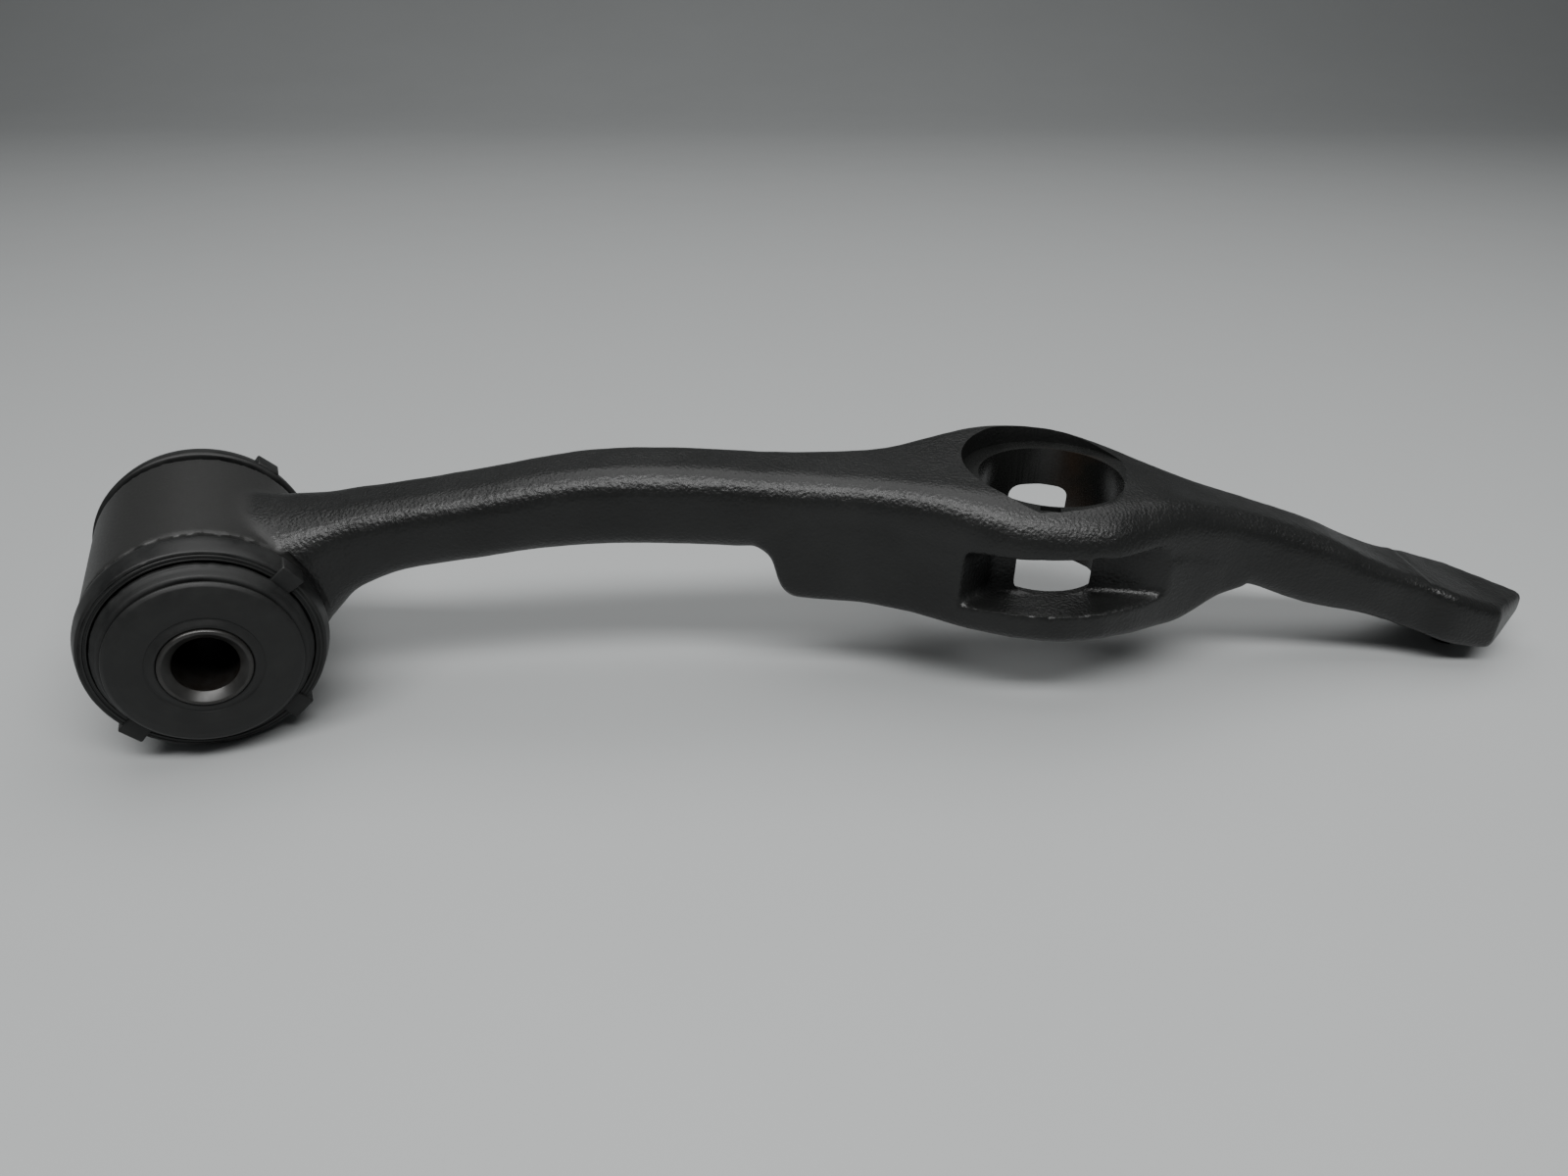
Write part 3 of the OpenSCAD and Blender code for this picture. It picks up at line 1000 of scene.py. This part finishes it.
@dataclass
class Bush:
    """The whole bush: rings, rubbers, discs, sleeve and the two hidden shells."""

    axis: BushAxis

    def build(self) -> list:
        """Builds and dresses the bush's pieces.

        Returns:
            The names of the pieces made.
        """
        ring_rubber = Rubber("ring_rubber", rough=0.44).material()
        bush_rubber = Rubber("bush_rubber", rough=0.55).material()
        coating = CoatedDisc().material()
        made = []
        for end in BushEnd:
            angles = (36.0, 222.0, 310.0) if end is BushEnd.FRONT else (45.0, 231.0, 317.0)
            for part, finish in (
                (LugRing(self.axis, end, angles=angles), ring_rubber),
                (BushRubber(self.axis, end), bush_rubber),
                (EndDisc(self.axis, end), coating),
            ):
                piece = part.build()
                part.dress(piece, finish)
                made.append(piece.name)
        sleeve = InnerSleeve(self.axis)
        piece = sleeve.build()
        sleeve.dress(piece, TurnedSteel().material())
        made.append(piece.name)
        plating = PlatedSheet().material()
        for name in ("front_shell", "rear_shell"):
            for slot in frame["nodes"][name].material_slots:
                slot.material = plating
        return made


# ---------------------------------------------------------------- the studio


@dataclass
class Studio:
    """Floor, light and camera. Distances in metres."""

    floor_z: float = -0.03107
    camera_at: tuple = (0.1456, -0.2920, 0.1635)
    heading: float = 4.56
    tilt: float = 29.89
    roll: float = 0.73
    lens: float = 25.46

    def build(self) -> None:
        """Sets up the floor, the lamps, the surroundings and the camera."""
        self.floor()
        self.surroundings()
        self.lamp("overhead", (0.25, 0.35, 1.1), (0.2, 0.0, 0.0), (1.6, 1.1), 11.0)
        self.lamp("front_strip", (0.15, -0.52, 0.95), (0.2, 0.0, 0.0), (1.4, 0.24), 16.0)
        self.camera()

    def floor(self) -> None:
        """Makes a pale floor that curves up into a backdrop far behind."""
        outline = [(-3.0, 0.0), (1.2, 0.0)]
        for k in range(1, 13):
            a = math.radians(90 * k / 12)
            outline.append((1.2 + 0.9 * math.sin(a), 0.9 * (1 - math.cos(a))))
        outline.append((2.1, 2.6))
        points = [(x, y, self.floor_z + z) for y, z in outline for x in (-3.5, 4.0)]
        faces = [[2 * i, 2 * i + 1, 2 * i + 3, 2 * i + 2] for i in range(len(outline) - 1)]
        sweep = new_piece("floor", points, faces)
        sweep.data.materials.append(FloorPaint().material())
        sweep.data.shade_smooth()

    def surroundings(self) -> None:
        """Makes the dim light all round."""
        world = bpy.data.worlds.new("studio")
        bpy.context.scene.world = world
        world.use_nodes = True
        tree = world.node_tree
        tree.nodes.clear()
        out = tree.nodes.new("ShaderNodeOutputWorld")
        light = tree.nodes.new("ShaderNodeBackground")
        light.inputs["Color"].default_value = (0.95, 0.98, 1.0, 1.0)
        light.inputs["Strength"].default_value = 0.13
        tree.links.new(light.outputs[0], out.inputs["Surface"])

    def lamp(self, name: str, place: tuple, target: tuple, size: tuple, power: float) -> None:
        """Adds a soft rectangular lamp.

        Args:
            name: its name.
            place: where it hangs.
            target: what it points at.
            size: its width and height.
            power: in watts.
        """
        light = bpy.data.lights.new(name, "AREA")
        light.shape = "RECTANGLE"
        light.size, light.size_y = size
        light.energy = power
        obj = bpy.data.objects.new(name, light)
        bpy.context.scene.collection.objects.link(obj)
        obj.location = place
        obj.rotation_euler = (Vector(target) - Vector(place)).to_track_quat("-Z", "Y").to_euler()

    def camera(self) -> None:
        """Adds the camera at its measured place and angle."""
        data = bpy.data.cameras.new("camera")
        data.sensor_width = 36.0
        data.lens = self.lens
        data.clip_start = 0.01
        obj = bpy.data.objects.new("camera", data)
        bpy.context.scene.collection.objects.link(obj)
        h, t, r = (math.radians(v) for v in (self.heading, self.tilt, self.roll))
        ahead = Vector((math.sin(h) * math.cos(t), math.cos(h) * math.cos(t), -math.sin(t)))
        level = Vector((math.cos(h), -math.sin(h), 0.0))
        above = level.cross(ahead)
        right = level * math.cos(r) + above * math.sin(r)
        up = above * math.cos(r) - level * math.sin(r)
        turn = Matrix((right, up, -ahead)).transposed().to_4x4()
        obj.matrix_world = Matrix.Translation(Vector(self.camera_at)) @ turn
        bpy.context.scene.camera = obj


def main() -> None:
    """Builds the studio and every piece."""
    logging.basicConfig(level=logging.INFO, format="%(message)s")
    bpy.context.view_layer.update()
    axis = BushAxis.from_record(frame["record"])
    Studio().build()
    forging = Forging(axis)
    arm = forging.build()
    forging.dress(arm, ForgePaint().material())
    LOG.info("built %s with %d faces", arm.name, len(arm.data.polygons))
    for name in Bush(axis).build():
        LOG.info("built %s", name)


if __name__ == "__main__":
    main()
